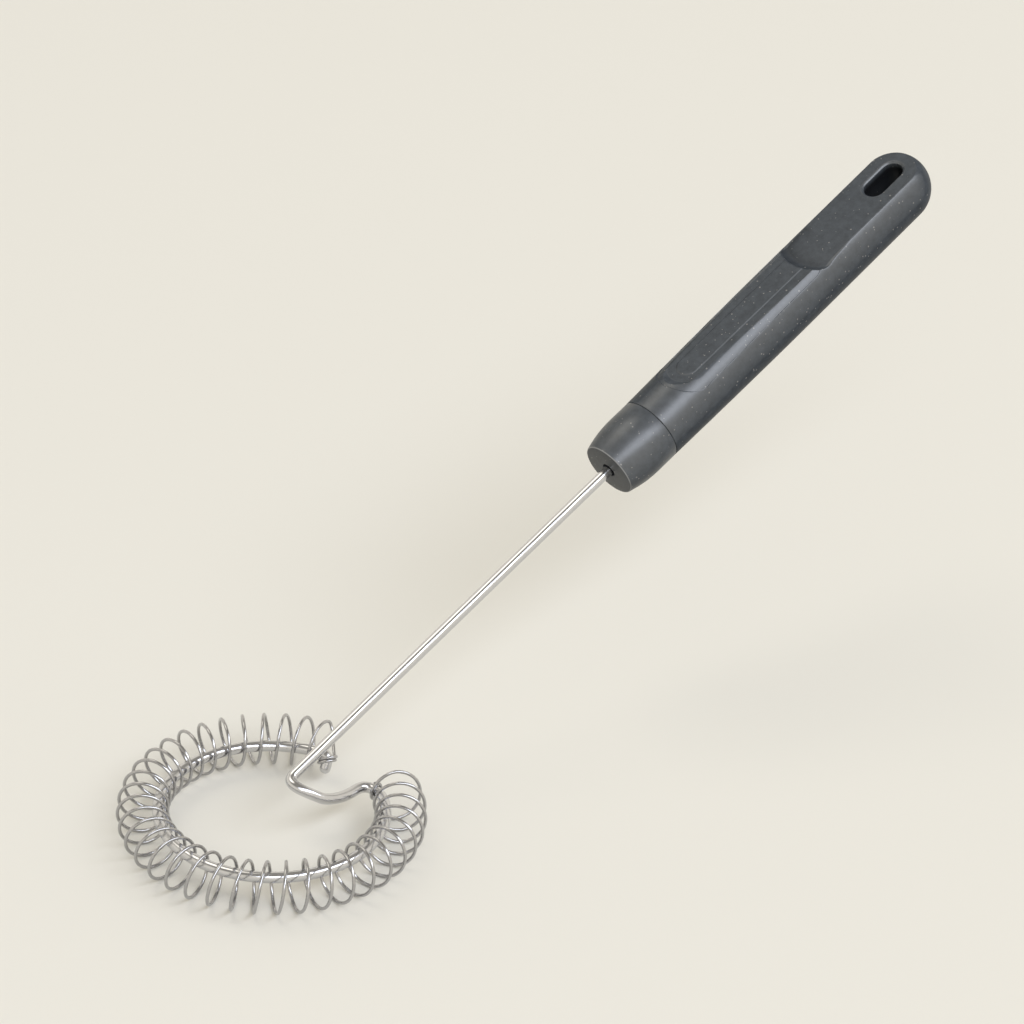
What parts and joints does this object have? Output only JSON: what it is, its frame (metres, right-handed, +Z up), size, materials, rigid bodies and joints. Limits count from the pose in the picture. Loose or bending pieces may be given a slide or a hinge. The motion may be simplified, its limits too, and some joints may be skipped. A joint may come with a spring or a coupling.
{
  "type": "coil whisk",
  "caption": "Gravy whisk: a light spring coiled round a flat ring of stiff wire, on a straight rising shaft with a round plastic handle that has a thumb rest and a hanging slot.",
  "frame": {"origin": "on the table that the coil stands on, under the middle of the whole whisk seen from above", "axes": "+Z up, with the ring and coil level; +X along the shaft's and handle's run seen from above, from the coil towards the handle's end; +Y to the left of that"},
  "size_m": [0.2784, 0.0818, 0.1345],
  "materials": {
    "wire_steel": "bright polished stainless steel wire, smooth, with long soft highlights",
    "spring_steel": "drawn stainless spring wire, a little duller and warmer than the frame wire",
    "grip_plastic": "matt charcoal plastic with a fine grain and sparse pale flecks",
    "collar_plastic": "matt charcoal plastic with a fine grain and sparse pale flecks, as the grip"
  },
  "bodies": {
    "root": {"frame_wire": "wire_steel", "coil_spring": "spring_steel", "handle_grip": "grip_plastic", "front_collar": "collar_plastic"}
  },
  "joints": []
}
